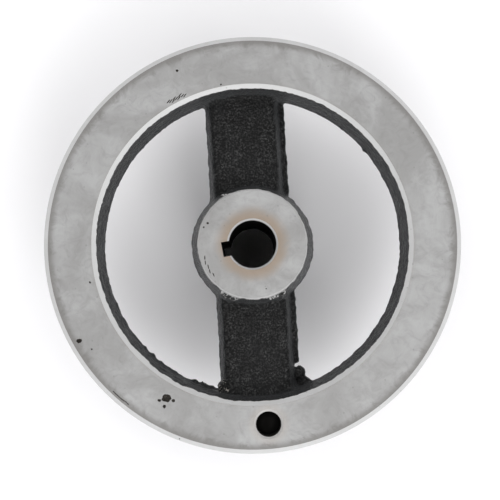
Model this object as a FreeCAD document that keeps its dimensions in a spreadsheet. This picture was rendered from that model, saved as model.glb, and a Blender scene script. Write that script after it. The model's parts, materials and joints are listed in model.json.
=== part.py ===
import FreeCAD, Part
import math
import os
import Sketcher

# V-belt pulley with one groove, two arms and a keyed bore.
#
# One grey-iron casting holds the rim, two opposite arms and the hub. Two
# socket set screws in the long rear hub lock it to its shaft. The casting is
# modelled in the order in which it is made: arms, hub and rim first, each
# drafted away from the parting plane, then the belt groove, the bore, the
# keyway and the holes are cut.
#
# Frame: Z is the bore axis and +Z is the front, where the tapped rim hole
# opens. The origin is on the bore axis in the parting plane, midway between the
# faces of the rim. The belt groove lies nearer the rear face, which leaves the
# front flange thick enough for the tapped hole. Lengths are in millimetres.
# Angles are in degrees, and directions run counter-clockwise from +X, seen from
# the front.

DIMENSIONS = {
    # rim
    "rim_radius": 70,
    "rim_half_width": 14,
    "rim_wall_radius": 50.8,
    "rim_draft": 8,
    "rim_outer_chamfer": 1.5,
    "rim_inner_chamfer": 1.2,
    # belt groove, section A
    "groove_level": -4,
    "groove_width": 13,
    "groove_depth": 12.5,
    "groove_angle": 38,
    # hub
    "hub_radius": 20.9,
    "hub_front": 14,
    "hub_rear": 44,
    "hub_front_draft": 10,
    "hub_rear_draft": 2.5,
    # bore and keyway
    "bore_radius": 8,
    "bore_chamfer": 0.6,
    "key_width": 5,
    "key_floor": 10.3,
    "key_direction": 190.5,
    # arms
    "arm_width": 27.3,
    "arm_half_thickness": 5.5,
    "arm_draft": 12,
    "arm_reach": 55,
    "arm_direction": 93.4,
    "arm_fillet": 2.5,
    # tapped hole in the rim's front face
    "tap_drill": 8.5,
    "tap_depth": 11.5,
    "tap_mouth": 10,
    "tap_point_angle": 118,
    "tap_circle_radius": 60.3,
    "tap_direction": 275.1,
    # set screws, M6 with a cup point and a hexagon socket
    "screw_radius": 3,
    "screw_clearance": 0.05,
    "screw_level": 29,
    "screw_hole_reach": 30,
    "screw_backed_off": 1,
    "screw_cup_radius": 1.5,
    "screw_cup_depth": 0.7,
    "screw_point": 1.5,
    "screw_end_chamfer": 0.5,
    "screw_socket": 3,
    "screw_socket_depth": 3.5,
    "key_screw_length": 8,
    "shaft_screw_length": 10,
    "shaft_screw_direction": 280.5,
}

START = 1             # first point of a sketch line
CENTRE = 3            # centre point of a sketch circle
ORIGIN = (-1, 1)      # a sketch's own origin point
HORIZONTAL_AXIS = -1
VERTICAL_AXIS = -2
TOLERANCE = 0.01

doc = FreeCAD.newDocument("v_belt_pulley")
sheet = doc.addObject("Spreadsheet::Sheet", "dims")
for row, (alias, value) in enumerate(DIMENSIONS.items(), start=1):
    sheet.set(f"A{row}", alias)
    sheet.set(f"B{row}", str(value))
    sheet.setAlias(f"B{row}", alias)
doc.recompute()


# ---- helpers ----------------------------------------------------------------

def add_body(label):
    body = doc.addObject("PartDesign::Body", label)
    body.Label = label
    return body


def add_sketch(body, name, role, turn="", turn_axis=(0, 0, 1), rise=""):
    """A sketch on one of the body's origin planes, turned about turn_axis and raised off it."""
    sketch = body.newObject("Sketcher::SketchObject", name)
    plane = next(item for item in body.Origin.OriginFeatures if item.Role == role)
    sketch.AttachmentSupport = (plane, [""])
    sketch.MapMode = "FlatFace"
    if turn:
        axis = FreeCAD.Vector(*turn_axis)
        sketch.AttachmentOffset = FreeCAD.Placement(FreeCAD.Vector(), FreeCAD.Rotation(axis, 90))
        sketch.setExpression("AttachmentOffset.Rotation.Angle", turn)
    if rise:
        sketch.setExpression("AttachmentOffset.Base.z", rise)
    return sketch


def bind(sketch, kind, *references):
    """Add a dimension whose last reference is the expression that drives it."""
    expression = references[-1]
    value = sketch.evalExpression(expression)
    index = sketch.addConstraint(Sketcher.Constraint(kind, *references[:-1], float(value)))
    sketch.setExpression(f"Constraints[{index}]", expression)


def pin(sketch, element, point, x, y):
    """Hold a point at the expressions x and y. An empty expression puts it on the axis."""
    for kind, expression, axis in (("DistanceX", x, VERTICAL_AXIS), ("DistanceY", y, HORIZONTAL_AXIS)):
        if expression:
            bind(sketch, kind, *ORIGIN, element, point, expression)
        else:
            sketch.addConstraint(Sketcher.Constraint("PointOnObject", element, point, axis))


def draw_outline(sketch, corners):
    """Draw a closed outline of straight lines through corners given as pairs of expressions."""
    places = [
        FreeCAD.Vector(*(float(sketch.evalExpression(term)) if term else 0.0 for term in corner), 0)
        for corner in corners
    ]
    count = len(places)
    for i in range(count):
        sketch.addGeometry(Part.LineSegment(places[i], places[(i + 1) % count]), False)
    for i in range(count):
        sketch.addConstraint(Sketcher.Constraint("Coincident", i, 2, (i + 1) % count, START))
    for i, (x, y) in enumerate(corners):
        pin(sketch, i, START, x, y)


def draw_circle(sketch, radius, x="", y=""):
    """Draw a circle whose radius and centre are expressions."""
    size = float(sketch.evalExpression(radius))
    middle = FreeCAD.Vector(*(float(sketch.evalExpression(term)) if term else 0.0 for term in (x, y)), 0)
    index = sketch.addGeometry(Part.Circle(middle, FreeCAD.Vector(0, 0, 1), size), False)
    bind(sketch, "Radius", index, radius)
    pin(sketch, index, CENTRE, x, y)


def add_feature(body, kind, name, sketch, **settings):
    """Add a sketch-based feature. A text setting is an expression and any other is a value."""
    feature = body.newObject(f"PartDesign::{kind}", name)
    feature.Profile = sketch
    for key, setting in settings.items():
        if isinstance(setting, str) and "dims." in setting:
            feature.setExpression(key, setting)
        else:
            setattr(feature, key, setting)
    sketch.Visibility = False
    doc.recompute()
    return feature


def revolve(body, kind, name, corners):
    """Turn an outline of (radius, height) corners once round the bore axis."""
    sketch = add_sketch(body, f"{name}_outline", "XZ_Plane")
    draw_outline(sketch, corners)
    return add_feature(body, kind, name, sketch, ReferenceAxis=(sketch, ["V_Axis"]), Angle=360.0)


def expect_change(body, before, sign, name):
    """Stop if a feature did not add (sign +1) or remove (sign -1) material."""
    change = body.Shape.Volume - before
    if change * sign <= 0:
        raise RuntimeError(f"{name} changed the volume by {change:.1f} mm3")


def dress_edges(body, kind, name, property_name, expression, picked):
    """Fillet or chamfer the edges of the body's tip for which picked(edge) is true."""
    base = body.Tip
    names = [f"Edge{i}" for i, edge in enumerate(base.Shape.Edges, start=1) if picked(edge)]
    if not names:
        raise RuntimeError(f"{name} found no edges")
    feature = body.newObject(f"PartDesign::{kind}", name)
    feature.Base = (base, names)
    feature.setExpression(property_name, expression)
    doc.recompute()
    return feature


def ring_at(radius, height):
    """A test for a circular edge about the bore axis with this radius and height."""
    def picked(edge):
        curve = edge.Curve
        if not isinstance(curve, Part.Circle):
            return False
        off_axis = (curve.Center.x ** 2 + curve.Center.y ** 2) ** 0.5
        same_size = abs(curve.Radius - radius) < TOLERANCE
        return same_size and off_axis < TOLERANCE and abs(curve.Center.z - height) < TOLERANCE
    return picked


def any_of(*tests):
    return lambda edge: any(test(edge) for test in tests)


def tan_degrees(angle):
    return math.tan(math.radians(angle))


# ---- pulley casting: arms, hub and rim --------------------------------------

casting = add_body("pulley_casting")

# One bar across the whole pulley makes both arms. It tapers both ways from the
# parting plane so that the pattern leaves the sand.
arm_plan = add_sketch(casting, "arm_plan", "XY_Plane", turn="dims.arm_direction")
draw_outline(arm_plan, [
    ("-dims.arm_reach", "-dims.arm_width / 2"),
    ("dims.arm_reach", "-dims.arm_width / 2"),
    ("dims.arm_reach", "dims.arm_width / 2"),
    ("-dims.arm_reach", "dims.arm_width / 2"),
])
add_feature(
    casting, "Pad", "arms", arm_plan, SideType="Two sides",
    Length="dims.arm_half_thickness", Length2="dims.arm_half_thickness",
    TaperAngle="-dims.arm_draft", TaperAngle2="-dims.arm_draft",
)

volume = casting.Shape.Volume
revolve(casting, "Revolution", "hub", [
    ("", "-dims.hub_rear"),
    ("dims.hub_radius - dims.hub_rear * tan(dims.hub_rear_draft)", "-dims.hub_rear"),
    ("dims.hub_radius", ""),
    ("dims.hub_radius - dims.hub_front * tan(dims.hub_front_draft)", "dims.hub_front"),
    ("", "dims.hub_front"),
])
expect_change(casting, volume, +1, "hub")

volume = casting.Shape.Volume
face_wall_radius = "dims.rim_wall_radius + dims.rim_half_width * tan(dims.rim_draft)"
revolve(casting, "Revolution", "rim", [
    ("dims.rim_wall_radius", ""),
    (face_wall_radius, "-dims.rim_half_width"),
    ("dims.rim_radius", "-dims.rim_half_width"),
    ("dims.rim_radius", "dims.rim_half_width"),
    (face_wall_radius, "dims.rim_half_width"),
])
expect_change(casting, volume, +1, "rim")

# Cast corners are rounded: the arms flow into hub and rim, and their own edges are soft.
def is_arm_corner(edge):
    """True for an arm's long edges, the corners of its sides and the ends of its faces."""
    if isinstance(edge.Curve, Part.BSplineCurve):
        return True
    flat = sheet.arm_half_thickness
    level = all(abs(abs(vertex.Z) - flat) < TOLERANCE for vertex in edge.Vertexes)
    return level and edge.Length < sheet.rim_wall_radius


volume = casting.Shape.Volume
dress_edges(casting, "Fillet", "arm_fillets", "Radius", "dims.arm_fillet", is_arm_corner)
expect_change(casting, volume, +1, "arm_fillets")


# ---- pulley casting: machining ----------------------------------------------

# The V is cut off by a flat floor, so that the belt bears on its sides only.
volume = casting.Shape.Volume
half_floor = "(dims.groove_width / 2 - dims.groove_depth * tan(dims.groove_angle / 2))"
revolve(casting, "Groove", "belt_groove", [
    ("dims.rim_radius", "dims.groove_level - dims.groove_width / 2"),
    ("dims.rim_radius", "dims.groove_level + dims.groove_width / 2"),
    ("dims.rim_radius - dims.groove_depth", f"dims.groove_level + {half_floor}"),
    ("dims.rim_radius - dims.groove_depth", f"dims.groove_level - {half_floor}"),
])
expect_change(casting, volume, -1, "belt_groove")

volume = casting.Shape.Volume
rim_corners = [ring_at(sheet.rim_radius, side * sheet.rim_half_width) for side in (-1, 1)]
dress_edges(
    casting, "Chamfer", "rim_outer_chamfers", "Size", "dims.rim_outer_chamfer", any_of(*rim_corners),
)
expect_change(casting, volume, -1, "rim_outer_chamfers")

volume = casting.Shape.Volume
wall_radius = sheet.rim_wall_radius + sheet.rim_half_width * tan_degrees(sheet.rim_draft)
rim_mouths = [ring_at(wall_radius, side * sheet.rim_half_width) for side in (-1, 1)]
dress_edges(
    casting, "Chamfer", "rim_inner_chamfers", "Size", "dims.rim_inner_chamfer", any_of(*rim_mouths),
)
expect_change(casting, volume, -1, "rim_inner_chamfers")

volume = casting.Shape.Volume
bore_circle = add_sketch(casting, "bore_circle", "XY_Plane")
draw_circle(bore_circle, "dims.bore_radius")
add_feature(casting, "Pocket", "bore", bore_circle, Type="ThroughAll", SideType="Symmetric")
expect_change(casting, volume, -1, "bore")

volume = casting.Shape.Volume
bore_mouths = [ring_at(sheet.bore_radius, level) for level in (sheet.hub_front, -sheet.hub_rear)]
dress_edges(casting, "Chamfer", "bore_chamfers", "Size", "dims.bore_chamfer", any_of(*bore_mouths))
expect_change(casting, volume, -1, "bore_chamfers")

volume = casting.Shape.Volume
key_slot = add_sketch(casting, "key_slot", "XY_Plane", turn="dims.key_direction")
draw_outline(key_slot, [
    ("", "-dims.key_width / 2"),
    ("dims.key_floor", "-dims.key_width / 2"),
    ("dims.key_floor", "dims.key_width / 2"),
    ("", "dims.key_width / 2"),
])
add_feature(casting, "Pocket", "keyway", key_slot, Type="ThroughAll", SideType="Symmetric")
expect_change(casting, volume, -1, "keyway")

# Blind M10 hole in the rim's front face, drilled to the tap's core size and countersunk.
volume = casting.Shape.Volume
tap_place = add_sketch(
    casting, "tap_place", "XY_Plane", turn="dims.tap_direction", rise="dims.rim_half_width",
)
draw_circle(tap_place, "dims.tap_drill / 2", x="dims.tap_circle_radius")
tapped_hole = add_feature(
    casting, "Hole", "tapped_hole", tap_place, DepthType="Dimension",
    DrillPoint="Angled", HoleCutType="Countersink",
)
for key, expression in {
    "Diameter": "dims.tap_drill",
    "Depth": "dims.tap_depth",
    "DrillPointAngle": "dims.tap_point_angle",
    "HoleCutDiameter": "dims.tap_mouth",
}.items():
    tapped_hole.setExpression(key, expression)
tapped_hole.HoleCutCountersinkAngle = 90
doc.recompute()
expect_change(casting, volume, -1, "tapped_hole")

screw_directions = {"key": "dims.key_direction", "shaft": "dims.shaft_screw_direction"}
for name, direction in screw_directions.items():
    volume = casting.Shape.Volume
    place = add_sketch(casting, f"{name}_screw_place", "YZ_Plane", turn=direction, turn_axis=(0, 1, 0))
    draw_circle(place, "dims.screw_radius + dims.screw_clearance", y="-dims.screw_level")
    add_feature(
        casting, "Pocket", f"{name}_screw_hole", place, Type="Length",
        Length="dims.screw_hole_reach", Reversed=True,
    )
    expect_change(casting, volume, -1, f"{name}_screw_hole")


# ---- set screws -------------------------------------------------------------

def add_set_screw(label, length, tip_radius, direction):
    """A cup-point set screw that lies along a radius of the hub, its point towards the bore."""
    screw = add_body(label)
    revolve(screw, "Revolution", f"{label}_shank", [
        ("", "dims.screw_cup_depth"),
        ("dims.screw_cup_radius", ""),
        ("dims.screw_radius", "dims.screw_point"),
        ("dims.screw_radius", f"{length} - dims.screw_end_chamfer"),
        ("dims.screw_radius - dims.screw_end_chamfer", length),
        ("", length),
    ])
    volume = screw.Shape.Volume
    socket = add_sketch(screw, f"{label}_socket_outline", "XY_Plane", rise=length)
    corner = "dims.screw_socket / sqrt(3)"
    flat = "dims.screw_socket / 2"
    draw_outline(socket, [
        (corner, ""),
        (f"{corner} / 2", flat),
        (f"-{corner} / 2", flat),
        (f"-{corner}", ""),
        (f"-{corner} / 2", f"-{flat}"),
        (f"{corner} / 2", f"-{flat}"),
    ])
    add_feature(
        screw, "Pocket", f"{label}_socket", socket, Type="Length", Length="dims.screw_socket_depth",
    )
    expect_change(screw, volume, -1, f"{label}_socket")
    # Local Z becomes the outward radius: first tipped from Z to X, then turned to its direction.
    tip_over = FreeCAD.Rotation(FreeCAD.Vector(0, 1, 0), 90)
    turn_round = FreeCAD.Rotation(FreeCAD.Vector(0, 0, 1), sheet.get(direction))
    screw.Placement = FreeCAD.Placement(FreeCAD.Vector(), turn_round * tip_over)
    start = f"({tip_radius} + dims.screw_backed_off)"
    screw.setExpression("Placement.Base.x", f"{start} * cos(dims.{direction})")
    screw.setExpression("Placement.Base.y", f"{start} * sin(dims.{direction})")
    screw.setExpression("Placement.Base.z", "-dims.screw_level")
    return screw


key_screw = add_set_screw("key_set_screw", "dims.key_screw_length", "dims.key_floor", "key_direction")
shaft_screw = add_set_screw(
    "shaft_set_screw", "dims.shaft_screw_length", "dims.bore_radius", "shaft_screw_direction",
)
doc.recompute()


# ---- check and write --------------------------------------------------------

for item in doc.Objects:
    if any(word in item.State for word in ("Invalid", "Error")):
        raise RuntimeError(f"{item.Label} failed: {item.State}")

os.makedirs("parts", exist_ok=True)
for body in (casting, key_screw, shaft_screw):
    shape = body.Shape
    if shape.isNull() or not shape.isValid() or len(shape.Solids) != 1:
        raise RuntimeError(f"{body.Label} is not one valid solid")
    shape.exportStep(f"parts/{body.Label}.step")
    print(body.Label, round(shape.Volume), "mm3", shape.BoundBox)
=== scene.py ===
# %% [markdown]
# # A cast V-belt pulley, made the way the real one is made
#
# The real pulley is poured in sand, brushed with black paint, and then turned
# on a lathe. That order gives it its look: every machined face is bright and
# exact, and wherever the tool did not reach, the skin is black and rough. So
# this lesson follows the same order. It builds a rough casting, "machines" it
# with one turned outline, drills and taps it, and lets each cut leave its own
# finish behind.

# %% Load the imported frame
import json
import math

import bmesh
import bpy
from mathutils import Matrix, Vector, noise


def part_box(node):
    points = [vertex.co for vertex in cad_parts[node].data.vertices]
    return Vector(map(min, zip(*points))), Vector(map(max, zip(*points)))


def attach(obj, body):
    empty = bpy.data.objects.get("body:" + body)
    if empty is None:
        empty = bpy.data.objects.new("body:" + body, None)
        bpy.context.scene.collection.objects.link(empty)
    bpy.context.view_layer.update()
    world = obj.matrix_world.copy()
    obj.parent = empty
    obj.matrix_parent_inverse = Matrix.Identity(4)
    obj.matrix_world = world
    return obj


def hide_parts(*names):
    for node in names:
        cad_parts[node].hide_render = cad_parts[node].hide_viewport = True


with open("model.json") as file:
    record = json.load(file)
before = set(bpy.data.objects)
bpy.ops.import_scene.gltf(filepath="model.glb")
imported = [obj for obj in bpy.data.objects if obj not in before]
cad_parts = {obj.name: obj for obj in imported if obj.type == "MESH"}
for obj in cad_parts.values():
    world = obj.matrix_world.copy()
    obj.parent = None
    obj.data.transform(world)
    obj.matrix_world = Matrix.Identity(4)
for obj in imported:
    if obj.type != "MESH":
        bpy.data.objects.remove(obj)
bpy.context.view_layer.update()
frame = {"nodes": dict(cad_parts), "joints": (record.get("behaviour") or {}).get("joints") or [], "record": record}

# %% [markdown]
# Everything that must fit a shaft, a belt or a screw already has its size in
# the frame, so those sizes are read and not typed again. What remains is the
# shape that the lathe and the pattern maker chose, which is written here in
# millimetres, as a drawing would have it.

# %% Sizes from the frame
mm = 0.001
mounts = {mount["name"]: mount for mount in frame["record"]["mounts"]}
joints = {joint["name"]: joint for joint in frame["joints"]}
casting_low, casting_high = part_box("pulley_casting")
RIM_RADIUS = casting_high.x
FRONT = casting_high.z
REAR = casting_low.z
BORE_RADIUS = mounts["bore"]["dims"]["r_mm"] * mm
TAP_PLACE = Vector(mounts["rim_tapped_hole"]["pos_m"])
TAP_DRILL_RADIUS = mounts["rim_tapped_hole"]["dims"]["r_mm"] * mm
TAP_WALL = mounts["rim_tapped_hole"]["dims"]["length_mm"] * mm
GROOVE_LEVEL = mounts["belt_groove"]["pos_m"][2]
KEY_AXIS = Vector(joints["key_screw_travel"]["axis"])
KEY_DIRECTION = math.atan2(KEY_AXIS.y, KEY_AXIS.x)
print(f"rim {RIM_RADIUS / mm:.1f} mm in radius, front {FRONT / mm:.1f}, rear {REAR / mm:.1f}")

# %% Sizes of the casting and of the turning
WALL_RADIUS = 50.8 * mm
WALL_DRAFT = math.radians(8)
HUB_RADIUS = 20.9 * mm
HUB_FRONT_DRAFT = math.radians(10)
HUB_REAR_DRAFT = math.radians(2.5)
ARM_LEFT = -13.65 * mm
ARM_RIGHT = 12.05 * mm
ARM_HALF_THICKNESS = 5.5 * mm
ARM_SIDE_RUN = 2.0 * mm
ARM_LEAN = math.radians(3.4)
HUB_FACE_RADIUS = 18.5 * mm
GROOVE_HALF_WIDTH = 6.5 * mm
GROOVE_DEPTH = 12.5 * mm
GROOVE_HALF_ANGLE = math.radians(19)
TAP_RADIUS = 5 * mm
KEY_WIDTH = 5 * mm
KEY_FLOOR = 10.3 * mm
VOXEL = 0.59 * mm

# %% [markdown]
# The camera comes first, because every later choice is judged through it. It
# looks almost straight down on the front face from about half a metre, with a
# long lens, and leans by two degrees.

# %% Camera
CAMERA_HEIGHT = 520 * mm
camera_data = bpy.data.cameras.new("camera")
camera_data.lens = 99.5
camera_data.sensor_width = 36
camera_data.clip_start = 0.01
camera = bpy.data.objects.new("camera", camera_data)
camera.location = (-0.85 * mm, -18.6 * mm, REAR + CAMERA_HEIGHT)
camera.rotation_euler = (math.radians(2.06), 0, 0)
bpy.context.scene.collection.objects.link(camera)
bpy.context.scene.camera = camera

# %% [markdown]
# A small part on a white table is lit by what surrounds it. It stands in a
# white tent, brightest overhead, with a dark hole in the ceiling where the
# camera looks in. The hole is what leaves a deep bore black. Two weak soft
# boxes add direction.

# %% Light
def add_softbox(name, place, width, power):
    """A square area light at place that faces the pulley."""
    data = bpy.data.lights.new(name, "AREA")
    data.size = width
    data.energy = power
    lamp = bpy.data.objects.new(name, data)
    lamp.location = place
    lamp.rotation_euler = (-Vector(place)).to_track_quat("-Z", "Y").to_euler()
    bpy.context.scene.collection.objects.link(lamp)


SOFTBOX_WIDTH = 0.6
add_softbox("near_softbox", (0.30, -0.90, 1.00), SOFTBOX_WIDTH, power=4)
add_softbox("far_softbox", (-0.50, 0.80, 1.00), SOFTBOX_WIDTH, power=1)
bpy.context.scene.view_settings.view_transform = "Standard"

# %% [markdown]
# Blender's node editor is where a finish is mixed. These helpers place a node,
# fill its sockets and open a new group, so that each material below reads as a
# recipe and not as wiring.

# %% Node helpers
def fill(tree, node, values):
    """Fill a node's inputs: a socket is linked to its input, and anything else becomes its value."""
    for socket, value in values.items():
        if isinstance(value, bpy.types.NodeSocket):
            tree.links.new(value, node.inputs[socket])
        else:
            node.inputs[socket].default_value = value


def add_node(tree, kind, values=None, **settings):
    """Add a shader node, set its properties and fill its inputs."""
    node = tree.nodes.new(f"ShaderNode{kind}")
    for key, setting in settings.items():
        setattr(node, key, setting)
    fill(tree, node, values or {})
    return node


def math_node(tree, operation, *terms):
    """A Math node; each term is a number or a socket. Returns its output."""
    return add_node(tree, "Math", dict(enumerate(terms)), operation=operation).outputs[0]


def remap(tree, value, low, high, to_low=0.0, to_high=1.0):
    """Stretch value from low..high onto to_low..to_high, clamped and eased; each may be a socket."""
    values = {"Value": value, "From Min": low, "From Max": high, "To Min": to_low, "To Max": to_high}
    return add_node(tree, "MapRange", values, interpolation_type="SMOOTHSTEP").outputs["Result"]


def blend_colors(tree, factor, first, second):
    """Mix two colours by factor. Returns the mixed colour."""
    # A Mix node has sockets for each kind of value: 6 and 7, and output 2, are its colours.
    return add_node(tree, "Mix", {0: factor, 6: first, 7: second}, data_type="RGBA").outputs[2]


def tint(tree, color, mask, amount, shade):
    """Lay a shade over a colour where the mask is, as strongly as amount. Returns the colour."""
    return blend_colors(tree, math_node(tree, "MULTIPLY", mask, amount), color, shade)


def grey(level, warmth=0.0):
    """A grey of this level; warmth leans it to brown."""
    return (level * (1 + warmth), level, level * (1 - warmth), 1)


def levelness(tree):
    """How square to the axis the surface stands: 1 on a rim face, 0 on a cylinder round the axis."""
    normal = add_node(tree, "NewGeometry").outputs["Normal"]
    along_axis = add_node(tree, "SeparateXYZ", {"Vector": normal}).outputs["Z"]
    return math_node(tree, "ABSOLUTE", along_axis)


def bumped(tree, height, strength, distance):
    """The surface's normal, leaned by a height."""
    values = {"Height": height, "Strength": strength, "Distance": distance}
    return add_node(tree, "Bump", values).outputs["Normal"]


def new_group(name, inputs, outputs):
    """A node group with float or vector inputs and outputs, given as name -> kind."""
    tree = bpy.data.node_groups.new(name, "ShaderNodeTree")
    for title, kind in inputs.items():
        tree.interface.new_socket(title, in_out="INPUT", socket_type=f"NodeSocket{kind}")
    for title, kind in outputs.items():
        tree.interface.new_socket(title, in_out="OUTPUT", socket_type=f"NodeSocket{kind}")
    entry = tree.nodes.new("NodeGroupInput")
    leave = tree.nodes.new("NodeGroupOutput")
    return tree, entry.outputs, leave.inputs


def place_group(tree, group, values):
    """Place a node group in a material and fill its inputs. Returns its outputs."""
    node = add_node(tree, "Group")
    node.node_tree = group
    fill(tree, node, values)
    return node.outputs


def new_material(name):
    """A material with only a Principled shader. Returns it, its tree, its shader and object coordinates."""
    material = bpy.data.materials.new(name)
    material.use_nodes = True
    tree = material.node_tree
    shader = tree.nodes["Principled BSDF"]
    place = add_node(tree, "TexCoord").outputs["Object"]
    return material, tree, shader, place


# %% [markdown]
# The tent itself is the world. How near a direction points to the zenith is a
# dot product, and two ramps on that give the hole and the fall to the walls.
# The tent is a little brighter on the near right-hand side. Seen directly,
# behind the floor's far edge, it is as pale as the floor.

# %% Light tent
CEILING_LIGHT = 1.60
CEILING_EDGE = math.radians(35)
WALL_LIGHT = 0.60
WALL_EDGE = math.radians(70)
HOLE_LIGHT = 0.0
HOLE_EDGE = math.radians(8.5)
HOLE_SURROUND = math.radians(15)
BACKDROP_LIGHT = 0.95
BRIGHT_SIDE = Vector((0.5, -0.85, 0))
BRIGHT_SIDE_GAIN = 0.35
world = bpy.data.worlds.new("light_tent")
world.use_nodes = True
tent = world.node_tree
look = add_node(tent, "TexCoord").outputs["Generated"]
aim = add_node(tent, "VectorMath", {0: look, 1: (0, 0, 1)}, operation="DOT_PRODUCT").outputs["Value"]
level = remap(tent, aim, math.cos(WALL_EDGE), math.cos(CEILING_EDGE), WALL_LIGHT, CEILING_LIGHT)
cover = remap(tent, aim, math.cos(HOLE_SURROUND), math.cos(HOLE_EDGE), 1.0, HOLE_LIGHT)
lean = add_node(tent, "VectorMath", {0: look, 1: BRIGHT_SIDE}, operation="DOT_PRODUCT").outputs["Value"]
gain = math_node(tent, "MULTIPLY_ADD", lean, BRIGHT_SIDE_GAIN, 1.0)
level = math_node(tent, "MULTIPLY", level, gain)
level = math_node(tent, "MULTIPLY", level, cover)
seen = add_node(tent, "LightPath").outputs["Is Camera Ray"]
level = remap(tent, seen, 0.0, 1.0, level, BACKDROP_LIGHT)
fill(tent, tent.nodes["Background"], {"Color": (1, 1, 1, 1), "Strength": level})
bpy.context.scene.world = world

# %% [markdown]
# **Sand grain.** The skin of a sand casting is a print of the mould: rounded
# grains about a millimetre across, with coarser pits where grains fell out. A
# noise and a cell pattern give that height, and a finer noise gives a speckle.
# The same group is placed in the paint, on the iron that the tool only skimmed
# and, with smaller grains, in the pits.

# %% Group: sand grain
sand_grain, given, gives = new_group(
    "sand_grain", {"Place": "Vector", "Per metre": "Float"}, {"Height": "Float", "Speckle": "Float"})
coarse = add_node(sand_grain, "TexNoise", {
    "Vector": given["Place"], "Scale": given["Per metre"], "Detail": 4.0, "Roughness": 0.62})
cells = add_node(sand_grain, "TexVoronoi", {
    "Vector": given["Place"], "Scale": math_node(sand_grain, "MULTIPLY", given["Per metre"], 1.3)},
    feature="SMOOTH_F1")
fine = add_node(sand_grain, "TexNoise", {
    "Vector": given["Place"], "Scale": math_node(sand_grain, "MULTIPLY", given["Per metre"], 1.6),
    "Detail": 3.0, "Roughness": 0.6})
sunk = math_node(sand_grain, "MULTIPLY", cells.outputs["Distance"], 0.35)
height = math_node(sand_grain, "SUBTRACT", coarse.outputs["Fac"], sunk)
sand_grain.links.new(height, gives["Height"])
sand_grain.links.new(remap(sand_grain, fine.outputs["Fac"], 0.42, 0.70), gives["Speckle"])

# %% [markdown]
# **Turning marks.** A lathe tool leaves rings about the axis. A noise read in
# polar coordinates, quickly along the radius and slowly around it, gives rings
# that fade in and out like real ones, on the faces and on the cylinders alike.

# %% Group: turning marks
RINGS_PER_METRE = 2600.0
CHANGES_PER_RADIAN = 1.5
turning_marks, given, gives = new_group(
    "turning_marks", {"Place": "Vector"}, {"Rings": "Float", "Radius": "Float"})
split = add_node(turning_marks, "SeparateXYZ", {"Vector": given["Place"]}).outputs
across = add_node(turning_marks, "CombineXYZ", {"X": split["X"], "Y": split["Y"]})
length = add_node(turning_marks, "VectorMath", {0: across.outputs[0]}, operation="LENGTH")
radius = length.outputs["Value"]
bearing = math_node(turning_marks, "ARCTAN2", split["Y"], split["X"])
polar = add_node(turning_marks, "CombineXYZ", {
    "X": math_node(turning_marks, "MULTIPLY", radius, RINGS_PER_METRE),
    "Y": math_node(turning_marks, "MULTIPLY", bearing, CHANGES_PER_RADIAN),
    "Z": math_node(turning_marks, "MULTIPLY", split["Z"], RINGS_PER_METRE)})
rings = add_node(turning_marks, "TexNoise", {
    "Vector": polar.outputs[0], "Scale": 1.0, "Detail": 2.0, "Roughness": 0.7})
turning_marks.links.new(rings.outputs["Fac"], gives["Rings"])
turning_marks.links.new(radius, gives["Radius"])

# %% [markdown]
# **Handling.** Bare iron that has lain on a shelf is cloudy: oil, finger marks
# and the first bloom of rust, each a soft patch. One group gives the clouds, a
# finer smear, and a scatter of small dark specks, where graphite or slag shows
# in the cut face.

# %% Group: handling
handling, given, gives = new_group(
    "handling", {"Place": "Vector"}, {"Clouds": "Float", "Smears": "Float", "Specks": "Float"})
clouds = add_node(handling, "TexNoise", {
    "Vector": given["Place"], "Scale": 55.0, "Detail": 5.0, "Roughness": 0.6, "Distortion": 0.6})
smears = add_node(handling, "TexNoise", {
    "Vector": given["Place"], "Scale": 210.0, "Detail": 6.0, "Roughness": 0.65, "Distortion": 1.2})
specks = add_node(handling, "TexVoronoi", {"Vector": given["Place"], "Scale": 260.0, "Randomness": 1.0})
handling.links.new(remap(handling, clouds.outputs["Fac"], 0.35, 0.68), gives["Clouds"])
handling.links.new(remap(handling, smears.outputs["Fac"], 0.40, 0.75), gives["Smears"])
handling.links.new(remap(handling, specks.outputs["Distance"], 0.10, 0.03), gives["Specks"])

# %% [markdown]
# **Bare iron.** Turned cast iron is a dull mid grey, not a mirror: the graphite
# in it breaks the reflection up. Clouds, smears and turning marks shade it.

# %% Material: bare iron
bare_iron, tree, shader, place = new_material("bare_iron")
marks = place_group(tree, turning_marks, {"Place": place})
worn = place_group(tree, handling, {"Place": place})
from_axis = marks["Radius"]
color = blend_colors(tree, worn["Clouds"], grey(0.29, 0.01), grey(0.39))
color = tint(tree, color, worn["Smears"], 0.35, grey(0.22, 0.02))
color = tint(tree, color, remap(tree, marks["Rings"], 0.3, 0.7), 0.2, grey(0.30))

# %% [markdown]
# Chamfers are painted lighter and made less metallic, most of all at the mouth
# of the rim: painted highlight, for the side light that they catch. A darker
# band lies beside the outer corner, for grime and for the painted shade of a
# slightly rolled edge, and a fainter one beside the mouth. How level the
# surface stands tells a chamfer from a face.

# %% Bare iron: painted highlight on chamfers, darker bands by the edges
OUTER_GRIME_AND_SHADE = (65.8 * mm, 68.4 * mm)
MOUTH_DARK_BAND = (55.3 * mm, 54.0 * mm)
squareness = levelness(tree)
on_face = remap(tree, squareness, 0.9, 0.99)
not_a_face = remap(tree, squareness, 0.90, 0.80)
not_a_wall = remap(tree, squareness, 0.4, 0.55)
corner = math_node(tree, "MULTIPLY", not_a_face, not_a_wall)
# Painted highlight: the chamfers' colour is lightened for the side light they catch.
wear_and_highlight = math_node(tree, "MULTIPLY", remap(tree, from_axis, 60 * mm, 50 * mm, 0.55, 0.95),
                   remap(tree, from_axis, 22 * mm, 30 * mm, 0.45, 1.0))
color = tint(tree, color, corner, wear_and_highlight, grey(0.74))
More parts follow.
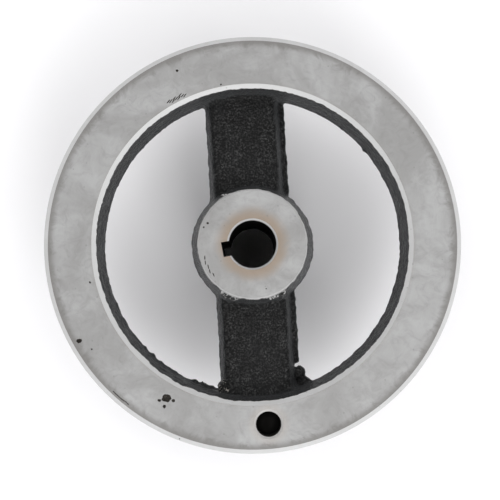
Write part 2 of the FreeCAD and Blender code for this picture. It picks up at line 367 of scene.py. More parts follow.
# Darker band by the outer corner: grime, and painted shade of a slightly rolled edge.
ragged = math_node(tree, "MULTIPLY_ADD", worn["Smears"], 1.1 * mm, from_axis)
grime_and_rolled_edge_shade = math_node(tree, "MULTIPLY", remap(tree, ragged, *OUTER_GRIME_AND_SHADE), on_face)
color = tint(tree, color, grime_and_rolled_edge_shade, 0.75, grey(0.17, 0.04))
# A fainter darker band beside the mouth of the rim.
by_mouth = math_node(tree, "MULTIPLY", remap(tree, from_axis, *MOUTH_DARK_BAND), on_face)
by_mouth = math_node(tree, "MULTIPLY", by_mouth, remap(tree, from_axis, 50 * mm, 52 * mm))
color = tint(tree, color, by_mouth, 0.25, grey(0.28, 0.04))

# %% [markdown]
# Round the hub's face the tool touched only the peaks of the cast skin, so its
# hollows stay black. Where a washer sat, oil and rust have left a tan stain,
# and a faint one rings the tapped hole.

# %% Bare iron: skimmed skin, stains and shine
STAIN_RADIUS = 12.2 * mm
WASHER_STAIN = (0.28, 0.21, 0.15, 1)
HOLE_STAIN = (0.46, 0.36, 0.28, 1)
grain = place_group(tree, sand_grain, {"Place": place, "Per metre": 1100.0})
skimmed = math_node(tree, "MULTIPLY", remap(tree, from_axis, HUB_FACE_RADIUS, 19 * mm),
                    remap(tree, from_axis, 30 * mm, 25 * mm))
color = tint(tree, color, skimmed, remap(tree, grain["Height"], 0.46, 0.34), grey(0.02))
washer = remap(tree, ragged, STAIN_RADIUS + 1.8 * mm, STAIN_RADIUS - 3 * mm)
color = tint(tree, color, math_node(tree, "MULTIPLY", washer, on_face), 0.72, WASHER_STAIN)
from_hole = add_node(tree, "VectorMath", {0: place, 1: TAP_PLACE}, operation="DISTANCE").outputs["Value"]
color = tint(tree, color, remap(tree, from_hole, 8 * mm, 5 * mm), 0.14, HOLE_STAIN)
color = tint(tree, color, worn["Specks"], 0.30, grey(0.10))
relief = math_node(tree, "MULTIPLY_ADD", worn["Smears"], 0.4, marks["Rings"])
fill(tree, shader, {
    "Base Color": color,
    "Metallic": math_node(tree, "MULTIPLY_ADD", corner, -0.4, 0.8),
    "Roughness": math_node(tree, "MULTIPLY_ADD", worn["Smears"], 0.12, 0.48),
    "Normal": bumped(tree, relief, 0.25, 0.02 * mm)})

# %% [markdown]
# ** Iron inside holes.** Inside the bore, the keyway and the tapped holes, the
# iron is coloured near black: painted shade, for the dark that deep holes hold.

# %% Material: iron inside holes, painted dark
painted_shade_iron, tree, shader, place = new_material("painted_shade_iron")
marks = place_group(tree, turning_marks, {"Place": place})
worn = place_group(tree, handling, {"Place": place})
# Painted shade: a near-black colour standing in for the dark inside deep holes.
color = blend_colors(tree, worn["Clouds"], grey(0.005, 0.1), grey(0.014, 0.15))
fill(tree, shader, {
    "Base Color": tint(tree, color, marks["Rings"], 0.4, grey(0.004)),
    "Metallic": 0.5,
    "Specular IOR Level": 0.2,
    "Roughness": math_node(tree, "MULTIPLY_ADD", worn["Smears"], 0.2, 0.35),
    "Normal": bumped(tree, marks["Rings"], 0.3, 0.03 * mm)})

# %% [markdown]
# ** Black paint.** It was brushed on before machining, thickly enough to round
# the sand grains and thinly enough to keep them. Flat faces look black. Steep
# ones are painted a little lighter: painted light, for the side light that
# steep faces catch. The grey speckle on the grains is partly dust and partly
# painted glints of light. Beside a cut edge it is chipped: the mesh below
# carries an attribute, edge, which says how near a cut is, and noise decides
# where the paint has flaked.

# %% Material: black paint
black_paint, tree, shader, place = new_material("black_paint")
grain = place_group(tree, sand_grain, {"Place": place, "Per metre": 1000.0})
worn = place_group(tree, handling, {"Place": place})
near_cut = add_node(tree, "Attribute", attribute_name="edge").outputs["Fac"]
color = blend_colors(tree, worn["Clouds"], grey(0.001), grey(0.005, -0.05))
# Grey speckle on the grains: partly dust, partly painted glints of light.
patches = math_node(tree, "MULTIPLY_ADD", worn["Smears"], 0.75, 0.30)
color = tint(tree, color, grain["Speckle"], patches, grey(0.068))
# Painted light: faces that stand steep are lightened for the side light they catch.
steep = remap(tree, levelness(tree), 0.90, 0.35, 0.0, 0.65)
color = blend_colors(tree, steep, color, grey(0.07, -0.03))
flaked = remap(tree, math_node(tree, "MULTIPLY_ADD", near_cut, 0.75, grain["Speckle"]), 1.05, 1.55)
fill(tree, shader, {
    "Base Color": blend_colors(tree, flaked, color, grey(0.34, 0.08)),
    "Metallic": math_node(tree, "MULTIPLY", flaked, 0.8),
    "Specular IOR Level": 0.12,
    "Roughness": math_node(tree, "MULTIPLY_ADD", worn["Smears"], 0.20, 0.28),
    "Normal": bumped(tree, grain["Height"], 1.0, 0.55 * mm)})

# %% [markdown]
# ** Pit black.** A blow-hole opened by the tool is coloured near black inside,
# with a faint speckle and no shine at all.

# %% Material: pit black
pit_black, tree, shader, place = new_material("pit_black")
grain = place_group(tree, sand_grain, {"Place": place, "Per metre": 2600.0})
fill(tree, shader, {
    "Base Color": blend_colors(tree, grain["Speckle"], grey(0.012, 0.15), grey(0.05, 0.2)),
    "Roughness": 0.9,
    "Normal": bumped(tree, grain["Height"], 0.7, 0.1 * mm)})

# %% [markdown]
# ## Shaping helpers
#
# A lathe part is an outline spun round an axis. A drilled or milled shape is
# the same solid taken away. So two tools are enough for all the metal here:
# one spins an outline, and one lets a solid cut, join or trim another. Each
# face remembers which finish it was made with, and a cut keeps that memory,
# so a countersink cut in a painted skin comes out bright by itself. Lumps and
# flaws start as a ball, which is stretched, swung about the axis and joined or
# cut in the same way.

# %% Spin and cut
PAINTED, TURNED, PITTED, HOLE_SHADE = range(4)
FINISHES = (black_paint, bare_iron, pit_black, painted_shade_iron)
DOUBLES = 0.0005 * mm


def to_object(bm, name, finish=TURNED, materials=FINISHES):
    """Close the bmesh's doubles, face it outwards and make it an object of one finish."""
    bmesh.ops.remove_doubles(bm, verts=bm.verts, dist=DOUBLES)
    bmesh.ops.recalc_face_normals(bm, faces=bm.faces)
    for face in bm.faces:
        face.material_index = finish
    mesh = bpy.data.meshes.new(name)
    bm.to_mesh(mesh)
    bm.free()
    for material in materials:
        mesh.materials.append(material)
    piece = bpy.data.objects.new(name, mesh)
    bpy.context.scene.collection.objects.link(piece)
    return piece


def add_outline(bm, points, closed):
    """An outline of (radius, height) points in the XZ plane. Returns its vertices and edges."""
    verts = [bm.verts.new((r, 0, z)) for r, z in points]
    first = 0 if closed else 1
    edges = [bm.edges.new((verts[i - 1], verts[i])) for i in range(first, len(verts))]
    return verts + edges


def turned(name, points, finish=TURNED, steps=360, closed=True):
    """Spin an outline once round Z: a closed one, or an open one that starts and ends on the axis."""
    bm = bmesh.new()
    bmesh.ops.spin(bm, geom=add_outline(bm, points, closed), cent=(0, 0, 0), axis=(0, 0, 1),
                   dvec=(0, 0, 0), angle=2 * math.pi, steps=steps, use_merge=True)
    return to_object(bm, name, finish)


def apply_modifiers(piece):
    """Replace the piece's mesh by what its modifiers make of it."""
    shown = piece.evaluated_get(bpy.context.evaluated_depsgraph_get())
    mesh = bpy.data.meshes.new_from_object(shown)
    piece.modifiers.clear()
    piece.data = mesh


def combine(piece, tool, operation):
    """Cut, join or trim piece with tool (DIFFERENCE, UNION or INTERSECT), and use the tool up."""
    modifier = piece.modifiers.new(tool.name, "BOOLEAN")
    modifier.object = tool
    modifier.operation = operation
    modifier.solver = "MANIFOLD"
    apply_modifiers(piece)
    bpy.data.objects.remove(tool)


def joined(tools):
    """Join small tools into one, which is quicker than cutting a large mesh with each."""
    whole = tools[0]
    for tool in tools[1:]:
        combine(whole, tool, "UNION")
    return whole


def remesh(piece, voxel):
    """Rebuild the piece's skin from even voxels, which welds what was joined."""
    modifier = piece.modifiers.new("voxels", "REMESH")
    modifier.mode = "VOXEL"
    modifier.voxel_size = voxel
    apply_modifiers(piece)


def soften(piece, rounds):
    """Melt corners, as a pattern's fillets and the sand do."""
    modifier = piece.modifiers.new("soften", "SMOOTH")
    modifier.factor = 0.5
    modifier.iterations = rounds
    apply_modifiers(piece)


def swing(bm, angle):
    """Turn a whole bmesh about the pulley's axis."""
    bmesh.ops.rotate(bm, verts=bm.verts, cent=(0, 0, 0), matrix=Matrix.Rotation(angle, 3, "Z"))


def add_ball(bm):
    """A round ball of radius 1, to be knocked into shape."""
    bmesh.ops.create_icosphere(bm, subdivisions=3, radius=1)


def stretched(point, size):
    """A point moved out by one factor along each axis."""
    return Vector((point.x * size[0], point.y * size[1], point.z * size[2]))


# %% [markdown]
# ## The rough casting
#
# A foundry pattern is drafted: every wall leans away from the parting plane,
# so that it can be drawn from the sand. Rim and hub are spun outlines with a
# corner in that plane, and stand proud of their finished size where they will
# be machined. The arms are one bar through both, narrower at its two faces
# than in the middle.

# %% Rim, hub and arms
ALLOWANCE = 5 * mm
RIM_ALLOWANCE = 2 * mm
CORE_RADIUS = 4 * mm
ARM_REACH = 54 * mm
ARM_CORNER = 1.2 * mm
CASTING_ROUNDS = 22
top = FRONT + ALLOWANCE
wall_at_top = WALL_RADIUS + top * math.tan(WALL_DRAFT)
casting = turned("pulley", [
    (WALL_RADIUS, 0), (wall_at_top, -top), (RIM_RADIUS + RIM_ALLOWANCE, -top),
    (RIM_RADIUS + RIM_ALLOWANCE, top), (wall_at_top, top)], PAINTED, steps=240)

bottom = REAR - ALLOWANCE
hub = turned("rough_hub", [
    (HUB_RADIUS, 0), (HUB_RADIUS - top * math.tan(HUB_FRONT_DRAFT), top), (CORE_RADIUS, top),
    (CORE_RADIUS, bottom), (HUB_RADIUS + bottom * math.tan(HUB_REAR_DRAFT), bottom)], PAINTED, steps=120)

bm = bmesh.new()
bmesh.ops.create_cube(bm, size=2)
whole_bar = bm.verts[:] + bm.edges[:] + bm.faces[:]
bmesh.ops.bisect_plane(bm, geom=whole_bar, plane_co=(0, 0, 0), plane_no=(0, 0, 1))
arm_middle = (ARM_LEFT + ARM_RIGHT) / 2
arm_half_width = (ARM_RIGHT - ARM_LEFT) / 2
for vert in bm.verts:
    run = arm_half_width - ARM_SIDE_RUN * abs(vert.co.z)
    vert.co = (arm_middle + run * vert.co.x, ARM_REACH * vert.co.y, ARM_HALF_THICKNESS * vert.co.z)
long_edges = [edge for edge in bm.edges
              if edge.calc_length() > ARM_REACH and abs(edge.verts[0].co.z) > ARM_HALF_THICKNESS / 2]
bmesh.ops.bevel(bm, geom=long_edges, offset=ARM_CORNER, segments=3, affect="EDGES", profile=0.5,
                material=-1)
swing(bm, ARM_LEAN)
arms = to_object(bm, "rough_arms", PAINTED)

combine(casting, hub, "UNION")
combine(casting, arms, "UNION")
remesh(casting, VOXEL)
soften(casting, CASTING_ROUNDS)
print("welded casting:", len(casting.data.polygons), "faces")

# %% [markdown]
# Where the two halves of the mould meet, iron creeps into the gap and freezes
# as a thin fin. Fettling knocks most of it off. Here it is left along the right
# side of both arms, broken away near the rim on the lower one, and there are
# beads of stray metal in the corners and along the wall of the rim.

# %% Flash and beads
FIN_EDGE = 13.6 * mm
FIN_ROOT = FIN_EDGE - 3 * mm
FIN_EDGE_HALF_THICKNESS = 0.36 * mm
FIN_ROOT_HALF_THICKNESS = 1.92 * mm
FIN_LEVEL = -0.3 * mm


def add_fin(y_from, y_to):
    """A ragged fin on the arms' right side, between two places along them."""
    bm = bmesh.new()
    bmesh.ops.create_cube(bm, size=2)
    along = [edge for edge in bm.edges if edge.verts[0].co.y != edge.verts[1].co.y]
    bmesh.ops.subdivide_edges(bm, edges=along, cuts=40, use_grid_fill=True)
    for vert in bm.verts:
        y = y_from + (vert.co.y + 1) / 2 * (y_to - y_from)
        ragged = 0.25 * mm * noise.noise(Vector((7, y / (2.2 * mm), 2)))
        if vert.co.x > 0:
            vert.co = (FIN_EDGE + ragged, y, FIN_LEVEL + FIN_EDGE_HALF_THICKNESS * vert.co.z)
        else:
            vert.co = (FIN_ROOT, y, FIN_LEVEL + FIN_ROOT_HALF_THICKNESS * vert.co.z)
    swing(bm, ARM_LEAN)
    return to_object(bm, "fin", PAINTED)


def add_bead(place, radii, lean=0.0):
    """A lump of iron: a ball with these radii along x, y and z, knocked out of round."""
    bm = bmesh.new()
    add_ball(bm)
    for vert in bm.verts:
        swell = 1 + 0.25 * noise.noise(vert.co * 1.3 + Vector(place) / mm)
        vert.co = stretched(vert.co, radii) * swell + Vector(place)
    swing(bm, lean)
    return to_object(bm, "bead", PAINTED)


LUG_ROOT = 2
LUG_HALF_HEIGHT = 9


def add_lug(bearing, half_width, stand_out):
    """A swelling of the hub's flank that reaches its front face. Bearing in degrees, sizes in mm."""
    bm = bmesh.new()
    add_ball(bm)
    seat = Vector((HUB_FACE_RADIUS - LUG_ROOT * mm, 0, FRONT - 5 * mm))
    for vert in bm.verts:
        ragged = 1 + 0.5 * noise.noise(vert.co * 2.2 + Vector((bearing, 0, 0)))
        radii = (stand_out + LUG_ROOT, half_width, LUG_HALF_HEIGHT)
        vert.co = stretched(vert.co, radii) * (ragged * mm) + seat
    swing(bm, math.radians(bearing))
    return to_object(bm, "lug", PAINTED)


CORNER_LUMP = Vector((-12.6 * mm, -47.8 * mm, 3.0 * mm))

# Beads on the rim's wall by bearing and radius, and the hub's lugs by bearing,
# half width and how far they stand out: degrees and millimetres.
WALL_BEADS = ((224, 0.9), (228, 1.1), (232, 0.8), (236, 1.0), (247, 1.4), (250.5, 1.7), (254, 1.3),
              (41, 0.8), (203, 0.6))
HUB_LUGS = ((121, 2.6, 1.5), (243, 3.6, 2.0), (253, 2.4, 1.5), (289, 3.0, 1.7), (299, 3.0, 2.0))
extras = [
    add_fin(17 * mm, 52 * mm),
    add_fin(-17 * mm, -41 * mm),
    add_bead((13.6 * mm, -44.6 * mm, -0.4 * mm), (2.0 * mm, 2.3 * mm, 1.7 * mm), ARM_LEAN),
    add_bead((14.8 * mm, -47.6 * mm, -0.8 * mm), (2.4 * mm, 1.9 * mm, 1.9 * mm), ARM_LEAN),
    add_bead(CORNER_LUMP, (1.9 * mm, 2.6 * mm, 2.8 * mm), ARM_LEAN),
]
for bearing, bead_radius in WALL_BEADS:
    turn = math.radians(bearing)
    seat_radius = WALL_RADIUS + 0.4 * mm
    place = (seat_radius * math.cos(turn), seat_radius * math.sin(turn), 0.3 * mm)
    extras.append(add_bead(place, (bead_radius * mm, bead_radius * mm, 0.9 * mm)))
for bearing, half_width, stand_out in HUB_LUGS:
    extras.append(add_lug(bearing, half_width, stand_out))
combine(casting, joined(extras), "UNION")
remesh(casting, VOXEL)
soften(casting, 3)
print("with flash:", len(casting.data.polygons), "faces")

# %% [markdown]
# A smooth computer shape betrays itself, so the skin is moved a little: slow
# swells where the mould gave way, pebbles the size of clotted sand, a low seam
# at the parting plane, and torn sand on the lower left of the rim's wall. Only
# the skin that stays on the finished pulley is moved.

# %% Sand-cast skin
SKIN_END = 57 * mm
TORN_WALL = 47 * mm
SEAM_HEIGHT = 0.28 * mm
SEAM_HALF_WIDTH = 0.7 * mm


def waves(point, height, length):
    """Uneven ground of about this height, with waves of about this length."""
    return height * noise.noise(point / length)


def sand_cast(piece):
    """Move the skin inside the rim along its normals. Returns how many points moved."""
    bm = bmesh.new()
    bm.from_mesh(piece.data)
    bm.normal_update()
    moved = 0
    for vert in bm.verts:
        radius = math.hypot(vert.co.x, vert.co.y)
        if radius > SKIN_END:
            continue
        swell = waves(vert.co, height=0.14 * mm, length=9 * mm)
        pebble = 0.16 * mm * noise.fractal(vert.co / (1.6 * mm), 0.6, 2.1, 3)
        by_seam = math.exp(-(vert.co.z / SEAM_HALF_WIDTH) ** 2)
        seam = by_seam * SEAM_HEIGHT * (0.7 + noise.noise(vert.co / (2.5 * mm)))
        rough_wall = radius > TORN_WALL and vert.co.x < 0 and vert.co.y < -10 * mm
        torn = waves(vert.co, height=0.30 * mm, length=2.8 * mm) if rough_wall else 0
        vert.co += vert.normal * (swell + pebble + seam + torn)
        moved += 1
    bm.to_mesh(piece.data)
    bm.free()
    return moved


print("skin points moved:", sand_cast(casting))

# %% [markdown]
# ## Machining
#
# In the lathe, one outline trims everything: rim faces, chamfers, belt groove,
# hub faces and bore. The casting is kept only where it lies inside the spun
# outline. The front of the hub is faced just below its edge too, so the tool
# skims whatever fillet of the arms stands that high. The bore is left a little
# small and then reamed.

# %% Turn the casting
OUTER_CHAMFER = 1.5 * mm
MOUTH_CHAMFER = 1.2 * mm
BORE_CHAMFER = 0.6 * mm
REAMING = 0.4 * mm
EDGE_BREAK = 0.35 * mm
HUB_EDGE_BREAK = 0.45 * mm
CONE_DEPTH = 4 * mm
STEP = 0.8 * mm
STEP_RADIUS = 46 * mm
REAR_CLEARANCE = 3 * mm
mouth = WALL_RADIUS + FRONT * math.tan(WALL_DRAFT) + MOUTH_CHAMFER
groove_floor = RIM_RADIUS - GROOVE_DEPTH
floor_half = GROOVE_HALF_WIDTH - GROOVE_DEPTH * math.tan(GROOVE_HALF_ANGLE)
lip = EDGE_BREAK * math.tan(GROOVE_HALF_ANGLE)
half_rim = [
    (mouth - CONE_DEPTH, FRONT - CONE_DEPTH), (mouth, FRONT), (RIM_RADIUS - OUTER_CHAMFER, FRONT),
    (RIM_RADIUS, FRONT - OUTER_CHAMFER)]
half_groove = [
    (RIM_RADIUS, GROOVE_HALF_WIDTH + EDGE_BREAK), (RIM_RADIUS - EDGE_BREAK, GROOVE_HALF_WIDTH - lip),
    (groove_floor, floor_half)]
front_hub = [
    (BORE_RADIUS - REAMING, FRONT - BORE_CHAMFER - REAMING), (BORE_RADIUS + BORE_CHAMFER, FRONT),
    (HUB_FACE_RADIUS - HUB_EDGE_BREAK, FRONT), (HUB_FACE_RADIUS, FRONT - HUB_EDGE_BREAK),
    (HUB_FACE_RADIUS, FRONT - STEP), (STEP_RADIUS, FRONT - STEP)]
rear_hub = [
    (STEP_RADIUS, STEP - FRONT), (HUB_RADIUS + REAR_CLEARANCE, STEP - FRONT),
    (HUB_RADIUS + REAR_CLEARANCE, REAR),
    (BORE_RADIUS + BORE_CHAMFER, REAR), (BORE_RADIUS - REAMING, REAR + BORE_CHAMFER + REAMING)]
groove = half_groove + [(r, -z) for r, z in reversed(half_groove)]
outline = (front_hub + half_rim + [(r, GROOVE_LEVEL + z) for r, z in groove]
           + [(r, -z) for r, z in reversed(half_rim)] + rear_hub)
combine(casting, turned("turning", outline), "INTERSECT")
reamer = [(0, top), (BORE_RADIUS, top), (BORE_RADIUS, bottom), (0, bottom)]
combine(casting, turned("reamer", reamer, HOLE_SHADE, closed=False), "DIFFERENCE")
print("turned:", len(casting.data.polygons), "faces")

# %% [markdown]
# The keyway is broached: a square tooth is pulled through the bore. Its tool
# is a plain bar, longer than the hub.

# %% Keyway
bm = bmesh.new()
bmesh.ops.create_cube(bm, size=1)
bmesh.ops.scale(bm, verts=bm.verts, vec=(KEY_FLOOR, KEY_WIDTH, 3 * (FRONT - REAR)))
bmesh.ops.translate(bm, verts=bm.verts, vec=(KEY_FLOOR / 2, 0, 0))
swing(bm, KEY_DIRECTION)
combine(casting, to_object(bm, "broach", HOLE_SHADE), "DIFFERENCE")

# %% [markdown]
# ## Threads
#
# A screw thread is one tooth outline spun many times round while it climbs one
# pitch a turn. Each turn's upper edge lands on the next one's lower edge, and
# merging them closes the surface. The same tooth makes a screw and, a little
# larger, the tap that cuts its hole. Both start from the same plane, so screw
# and hole are in mesh, and stay so at each whole turn.

# %% Thread tool
def threaded_rod(name, core, crest, pitch, length, steps=36):
    """A rod with a sharp-flanked thread, from z = 0 up, core and crest being radii."""
    flat = pitch / 8
    turns = math.ceil(length / pitch)
    bm = bmesh.new()
    tooth = [(core, 0), (core, flat), (crest, pitch / 2), (crest, pitch / 2 + flat), (core, pitch)]
    bmesh.ops.spin(bm, geom=add_outline(bm, tooth, closed=False), cent=(0, 0, 0), axis=(0, 0, 1),
                   dvec=(0, 0, pitch / steps), angle=2 * math.pi * turns, steps=steps * turns)
    bmesh.ops.remove_doubles(bm, verts=bm.verts, dist=0.01 * pitch)
    ends = bmesh.ops.holes_fill(bm, edges=[edge for edge in bm.edges if edge.is_boundary], sides=0)
    bmesh.ops.poke(bm, faces=ends["faces"])
    return to_object(bm, name, HOLE_SHADE)


def plug_shape(name, points, finish=HOLE_SHADE, steps=64):
    """A solid spun from an open outline that starts and ends on the axis."""
    return turned(name, points, finish, steps=steps, closed=False)


def placed(piece, matrix):
    """Move the piece's mesh, so that the piece itself stays at the origin. Returns the piece."""
    piece.data.transform(matrix)
    return piece


# %% [markdown]
# The M10 hole in the rim is drilled with an ordinary drill, so it ends in a
# cone of 118 degrees. It is countersunk to the thread's full width and then
# tapped. The thread starts under the countersink, whose ring stays whole and
# bright.

# %% Tapped hole in the rim
TAP_PITCH = 1.5 * mm
THREAD_RUNOUT = 1.5 * mm
CLEAR = 2 * mm
POINT_SLOPE = math.tan(math.radians(31))
csink = TAP_RADIUS - TAP_DRILL_RADIUS
TAP_DEPTH = TAP_WALL + csink
over_hole = Matrix.Translation((TAP_PLACE.x, TAP_PLACE.y, FRONT))
drill = plug_shape("drill", [
    (0, CLEAR), (TAP_DRILL_RADIUS, CLEAR), (TAP_DRILL_RADIUS, -TAP_DEPTH),
    (0, -TAP_DEPTH - TAP_DRILL_RADIUS * POINT_SLOPE)])
combine(casting, placed(drill, over_hole), "DIFFERENCE")
sink = plug_shape("countersink", [
    (0, CLEAR), (TAP_RADIUS + CLEAR, CLEAR), (TAP_DRILL_RADIUS, -csink), (0, -csink)], TURNED)
combine(casting, placed(sink, over_hole), "DIFFERENCE")
tap_core = TAP_DRILL_RADIUS - 0.25 * mm
tap = threaded_rod("tap", tap_core, TAP_RADIUS, TAP_PITCH, TAP_DEPTH + 2 * CLEAR, steps=48)
placed(tap, Matrix.Translation((0, 0, -TAP_DEPTH - CLEAR)))
thread_end = THREAD_RUNOUT - TAP_DEPTH
limit = plug_shape("limit", [
    (0, -csink), (2 * TAP_RADIUS, -csink), (2 * TAP_RADIUS, thread_end), (0, thread_end)])
combine(tap, limit, "INTERSECT")
combine(casting, placed(tap, over_hole), "DIFFERENCE")
print("rim hole tapped:", len(casting.data.polygons), "faces")

# %% [markdown]
# The set screws run along a radius, so their holes are made upright at the
# origin and then laid over. One matrix per screw lays over the drill, the tap
# and the screw alike: its Z axis becomes the outward radius at the screw's level.

# %% Set screws and their holes
SCREW_CREST = 2.95 * mm
SCREW_CORE = 2.42 * mm
SCREW_PITCH = 1.0 * mm
HOLE_CREST = 2.5 * mm
HOLE_ROOT = 3.05 * mm
CUP_RADIUS = 1.5 * mm
CUP_DEPTH = 0.7 * mm
SOCKET_FLATS = 3.0 * mm
SOCKET_DEPTH = 3.5 * mm
SCREW_END_CHAMFER = 0.8 * mm
HOLE_CHAMFER = 0.9 * mm
THREAD_START = 4 * mm


def lay_over(node, axis):
    """The matrix that stands Z along axis, at the level of the CAD node's middle."""
    low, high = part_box(node)
    turn = Matrix((Vector((0, 0, 1)), axis.cross(Vector((0, 0, 1))), axis)).transposed().to_4x4()
    return Matrix.Translation((0, 0, (low.z + high.z) / 2)) @ turn


def reach_of(node, axis):
    """How far the CAD node reaches along axis, from its point to its outer end."""
    along = [vert.co.dot(axis) for vert in frame["nodes"][node].data.vertices]
    return min(along), max(along)


def tap_hub(name, laid):
    """Drill, countersink and tap the hub for a set screw."""
    flank = HUB_RADIUS + laid.translation.z * math.tan(HUB_REAR_DRAFT)
    outside = flank + 2 * CLEAR
    mouth = flank - HOLE_CHAMFER
    hole = plug_shape(f"{name}_drill", [(0, 0), (HOLE_CREST, 0), (HOLE_CREST, outside), (0, outside)])
    combine(casting, placed(hole, laid), "DIFFERENCE")
    sink = plug_shape(f"{name}_countersink", [
        (0, mouth), (HOLE_CREST, mouth), (HOLE_CREST + outside - mouth, outside), (0, outside)], TURNED)
    combine(casting, placed(sink, laid), "DIFFERENCE")
    cutter = threaded_rod(f"{name}_tap", HOLE_CREST - 0.2 * mm, HOLE_ROOT, SCREW_PITCH, outside)
    around = 2 * HOLE_CREST + mm
    span = plug_shape(f"{name}_span", [
        (0, THREAD_START), (around, THREAD_START), (around, outside - mm), (0, outside - mm)])
    combine(cutter, span, "INTERSECT")
    combine(casting, placed(cutter, laid), "DIFFERENCE")


def make_screw(name, node, axis, laid):
    """A cup-point set screw with a hexagon socket, where the CAD has it."""
    point, end = reach_of(node, axis)
    screw = threaded_rod(name, SCREW_CORE, SCREW_CREST, SCREW_PITCH, end + 2 * SCREW_PITCH)
    wide = SCREW_CREST + 0.3 * mm
    blank = plug_shape(f"{name}_blank", [
        (0, point + CUP_DEPTH), (CUP_RADIUS - 0.1 * mm, point + 0.05 * mm), (CUP_RADIUS, point),
        (wide, point + wide - CUP_RADIUS), (wide, end - SCREW_END_CHAMFER),
        (wide - SCREW_END_CHAMFER, end), (0, end)])
    combine(screw, blank, "INTERSECT")
    bm = bmesh.new()
    corner_radius = SOCKET_FLATS / math.sqrt(3)
    bmesh.ops.create_cone(bm, cap_ends=True, segments=6, radius1=corner_radius, radius2=corner_radius,
                          depth=2 * SOCKET_DEPTH)
    bmesh.ops.translate(bm, verts=bm.verts, vec=(0, 0, end))
    combine(screw, to_object(bm, f"{name}_key"), "DIFFERENCE")
    lead_radius = SOCKET_FLATS / 2 + 0.25 * mm
    lead = plug_shape(f"{name}_lead", [
        (0, end + mm), (lead_radius + mm, end + mm), (0, end - lead_radius)], steps=48)
    combine(screw, lead, "DIFFERENCE")
    return placed(screw, laid)


screws = {}
for label in ("key", "shaft"):
    axis = Vector(joints[f"{label}_screw_travel"]["axis"])
    node = f"{label}_set_screw"
    laid = lay_over(node, axis)
    tap_hub(label, laid)
    screws[label] = make_screw(f"{label}_screw_m6", node, axis, laid)
    print(node, "faces:", len(screws[label].data.polygons))

# %% [markdown]
# ## Flaws that are part of the look
#
# Turning opens a few blow-holes, and life adds nicks. Each is a small uneven
# ball, flattened and sunk into the face, and cuts like any other tool. Its
# faces carry the near-black pit finish. A flaw is written as a person would point it
# out: how far from the axis, in which direction, how long, how wide, how deep.

# %% Pits and gouges
def dig(name, radius, bearing, length, width, depth, turn=0.0, level=FRONT):
    """Sink an uneven hollow into a front face. Sizes are in mm, angles in degrees."""
    bm = bmesh.new()
    add_ball(bm)
    way = math.radians(bearing)
    seat = Vector((radius * mm * math.cos(way), radius * mm * math.sin(way), level))
    for vert in bm.verts:
        swell = 1 + 0.35 * noise.noise(vert.co * 1.7 + seat / mm)
        vert.co = stretched(vert.co, (length, width, depth)) * (mm / 2 * swell)
    swing(bm, math.radians(turn))
    bmesh.ops.translate(bm, verts=bm.verts, vec=seat)
    return to_object(bm, name, PITTED)


hollows = [
    dig("blow_hole", 66.3, 209.2, 1.9, 1.5, 2.0),
    dig("slag_hole", 58.9, 240.8, 3.4, 2.6, 2.6, turn=20),
    dig("slag_left", 60.7, 239.2, 1.2, 1.0, 1.2),
    dig("slag_right", 58.5, 243.2, 1.2, 1.1, 1.2),
    dig("slag_below", 61.6, 241.5, 1.1, 1.2, 1.2),
]

# Pinholes by distance from the axis, bearing and size.
PINHOLES = ((63.6, 113.5, 0.9), (54.7, 101.2, 0.6), (55.8, 193.3, 0.7), (64.1, 213.2, 0.6),
            (16.6, 155.0, 0.8), (17.3, 161.0, 0.6), (15.6, 287.0, 0.4))
for radius, bearing, size in PINHOLES:
    hollows.append(dig("pinhole", radius, bearing, size, size, size))

# A tool that tore the surface left short slanting scars by the upper arm.
for i in range(9):
    away = noise.noise(Vector((i, 8.1, 0)))
    radius = 54.9 + 0.35 * (i % 3) + 0.5 * away
    hollows.append(dig("tear", radius, 114.5 + 0.75 * i, 1.7 + away, 0.35, 0.5, turn=52 + 12 * away))

# The outer edge has been knocked on something hard, at the lower left.
for i in range(8):
    away = noise.noise(Vector((i, 2.7, 4)))
    radius = 67.6 + 0.3 * away
    length = 1.0 + 0.6 * away
    hollows.append(dig("nick", radius, 226.8 + 0.75 * i, length, 0.35, 0.5, turn=136 + 14 * away))
hollows.append(dig("chamfer_nick", 69.0, 249.5, 1.6, 0.5, 0.6, turn=60, level=FRONT - mm))

# A chip caught under the tool left a row of scars on the hub's face.
for i in range(5):
    bearing = 196 + 5.5 * i
    hollows.append(dig("hub_scar", 16.6 + 0.35 * (i % 2), bearing, 1.5, 0.35, 0.4, turn=bearing + 75))
combine(casting, joined(hollows), "DIFFERENCE")
print("pitted and scarred:", len(casting.data.polygons), "faces")

# %% [markdown]
# ## Finish the mesh
#
# Two things are left for the casting. Corners between turned faces must stay
# crisp while the cast skin stays soft, so edges are marked sharp by what meets
# there. And the paint needs to know where a cut is near: that is worked out
# once, by letting a value of 1 at the cuts seep outwards through the mesh. The
# lump in the corner of the lower arm stands proud, so it is worn too.

# %% Sharp edges and the edge attribute
SHARP_TURN = math.radians(28)
SEEP_ROUNDS = 3
LUMP_REACH = 3.2 * mm
LUMP_WEAR = 0.7
SLIVER = 0.002 * mm


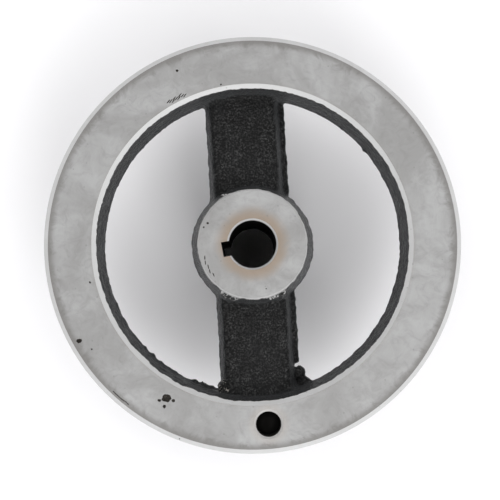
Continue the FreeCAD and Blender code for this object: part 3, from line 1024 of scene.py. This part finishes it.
def finish_casting(piece):
    """Mark sharp edges and store how near each point is to a cut. Returns how many edges are open."""
    bm = bmesh.new()
    bm.from_mesh(piece.data)
    layer = bm.verts.layers.float.new("edge")
    bmesh.ops.dissolve_degenerate(bm, edges=bm.edges, dist=SLIVER)
    bm.normal_update()
    for face in bm.faces:
        face.smooth = True
    near = {}
    for edge in bm.edges:
        finishes = {face.material_index for face in edge.link_faces}
        skin = finishes == {PAINTED}
        edge.smooth = skin or (len(finishes) == 1 and edge.calc_face_angle(0) < SHARP_TURN)
        if PAINTED in finishes and len(finishes) > 1:
            near[edge.verts[0]] = near[edge.verts[1]] = 1.0
    ring = list(near)
    for step in range(1, SEEP_ROUNDS + 1):
        fresh = {edge.other_vert(vert) for vert in ring for edge in vert.link_edges} - near.keys()
        near.update({vert: 1 - step / (SEEP_ROUNDS + 1) for vert in fresh})
        ring = list(fresh)
    lump = Matrix.Rotation(ARM_LEAN, 3, "Z") @ CORNER_LUMP
    near.update({vert: LUMP_WEAR for vert in bm.verts if (vert.co - lump).length < LUMP_REACH})
    for vert, value in near.items():
        vert[layer] = value
    open_edges = sum(not edge.is_manifold for edge in bm.edges)
    bm.to_mesh(piece.data)
    bm.free()
    return open_edges


print("open edges:", finish_casting(casting))
casting.data.calc_loop_triangles()
print("casting triangles:", len(casting.data.loop_triangles))

# %% [markdown]
# **Black oxide.** Set screws are hardened steel, blackened in hot salts: a
# deep blue-black skin, satin, that polishes to steel on the crests of the
# thread and at the rim of the socket.

# %% Material: black oxide
OXIDE_BLUE = (0.016, 0.017, 0.020, 1)
OXIDE_BROWN = (0.030, 0.029, 0.028, 1)
STEEL = (0.30, 0.30, 0.31, 1)
black_oxide, tree, shader, place = new_material("black_oxide")
worn = place_group(tree, handling, {"Place": place})
color = blend_colors(tree, worn["Clouds"], OXIDE_BLUE, OXIDE_BROWN)
crests = add_node(tree, "Attribute", attribute_name="edge").outputs["Fac"]
wear_and_highlight = remap(tree, math_node(tree, "MULTIPLY_ADD", worn["Smears"], 0.5, crests), 0.9, 1.4)
fill(tree, shader, {
    "Base Color": tint(tree, color, wear_and_highlight, 0.6, STEEL),
    "Metallic": 0.75,
    "Roughness": math_node(tree, "MULTIPLY_ADD", worn["Smears"], 0.2, 0.32),
    "Normal": bumped(tree, worn["Smears"], 0.2, 0.02 * mm)})


def finish_screw(piece):
    """Give the screw its own finish, crisp corners and worn convex edges."""
    piece.data.materials.clear()
    piece.data.materials.append(black_oxide)
    bm = bmesh.new()
    bm.from_mesh(piece.data)
    layer = bm.verts.layers.float.new("edge")
    bm.normal_update()
    for face in bm.faces:
        face.material_index = 0
        face.smooth = True
    for edge in bm.edges:
        if edge.is_manifold and edge.calc_face_angle_signed(0) > SHARP_TURN:
            edge.verts[0][layer] = edge.verts[1][layer] = 1.0
        edge.smooth = edge.calc_face_angle(0) < SHARP_TURN
    bm.to_mesh(piece.data)
    bm.free()


for screw in screws.values():
    finish_screw(screw)

# %% [markdown]
# ## The floor
#
# The pulley stands on its rear hub, so the rim floats above the table and
# shades it through the windows. A plain pale sheet with the faintest mottling
# keeps that shade readable.

# %% Floor
FLOOR_HALF_WIDTH = 2
FLOOR_SHADE = (0.88, 0.875, 0.89, 1)
FLOOR_PALE = (0.91, 0.905, 0.92, 1)
floor_sheet, tree, shader, place = new_material("floor_sheet")
mottle = add_node(tree, "TexNoise", {"Vector": place, "Scale": 14.0, "Detail": 4.0})
fill(tree, shader, {
    "Base Color": blend_colors(tree, mottle.outputs["Fac"], FLOOR_SHADE, FLOOR_PALE),
    "Roughness": 0.6})
bm = bmesh.new()
bmesh.ops.create_grid(bm, x_segments=1, y_segments=1, size=FLOOR_HALF_WIDTH)
bmesh.ops.translate(bm, verts=bm.verts, vec=(0, 0, REAR))
floor = to_object(bm, "floor", 0, [floor_sheet])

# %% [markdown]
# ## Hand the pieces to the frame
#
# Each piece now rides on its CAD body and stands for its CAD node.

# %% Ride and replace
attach(casting, "casting")
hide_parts("pulley_casting")
for label, screw in screws.items():
    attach(screw, f"{label}_screw")
    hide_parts(f"{label}_set_screw")
